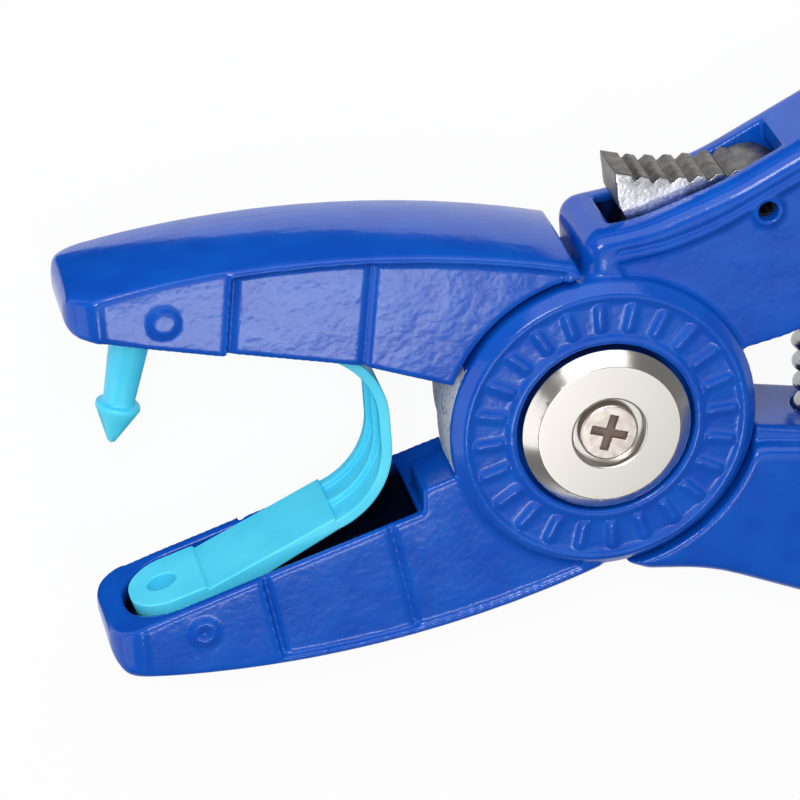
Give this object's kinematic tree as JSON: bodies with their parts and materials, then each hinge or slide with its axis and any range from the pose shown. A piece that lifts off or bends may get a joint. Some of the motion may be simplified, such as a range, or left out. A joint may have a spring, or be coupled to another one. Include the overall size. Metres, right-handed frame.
{
  "type": "ear tag applicator",
  "caption": "Die-cast pliers that close two hinged jaws to fix a flexible loop tag through a farm animal's ear; spring-opened, with a serrated thumb lock.",
  "frame": {"origin": "on the pivot axis, at the rear face of the pivot bolt's head", "axes": "+Z along the pivot axis toward the capped side, -X toward the jaws, +X toward the handles, +Y toward the jaw and handle on the thumb lock's side"},
  "size_m": [0.2406, 0.1399, 0.03],
  "materials": {
    "enamel": "glossy blue baked enamel with a hammered surface",
    "plated_steel": "zinc plated steel",
    "bronze": "oiled bronze",
    "black_nylon": "black nylon",
    "polished_nickel": "nickel plate, brushed flat with polished bevel",
    "cast_zinc": "bare die cast metal, tumbled",
    "spring_steel": "bright spring steel",
    "tag_plastic": "smooth sky blue polyurethane"
  },
  "bodies": {
    "lower_jaw": {"lower_jaw_lever": "enamel", "pivot_bolt": "plated_steel", "pivot_cap": "polished_nickel", "pivot_screw": "polished_nickel", "friction_ring": "black_nylon", "thrust_washer": "plated_steel", "lever_pin": "plated_steel", "lever_spring": "spring_steel", "return_spring": "spring_steel", "tag_female_end": "tag_plastic", "tag_loop": "tag_plastic"},
    "upper_jaw": {"upper_jaw_lever": "enamel", "pivot_bush": "bronze", "tag_clip": "spring_steel", "clip_screw": "plated_steel", "tag_male_end": "tag_plastic"},
    "thumb_lock": {"thumb_lever": "cast_zinc"}
  },
  "joints": [
    {"name": "jaw_pivot", "type": "hinge", "parent": "lower_jaw", "child": "upper_jaw", "pos_m": [0, 0, 0], "axis": [0, 0, 1], "range_deg": [0, 30], "stiffness_Nm_per_rad": 1, "springref_deg": -17.19, "deforming": ["return_spring", "tag_loop", "tag_female_end"]},
    {"name": "thumb_pivot", "type": "hinge", "parent": "lower_jaw", "child": "thumb_lock", "pos_m": [0.031, 0.0347, 0.014], "axis": [0, 0, 1], "range_deg": [0, 7], "stiffness_Nm_per_rad": 0.05, "springref_deg": -8.59, "deforming": ["lever_spring"]}
  ]
}
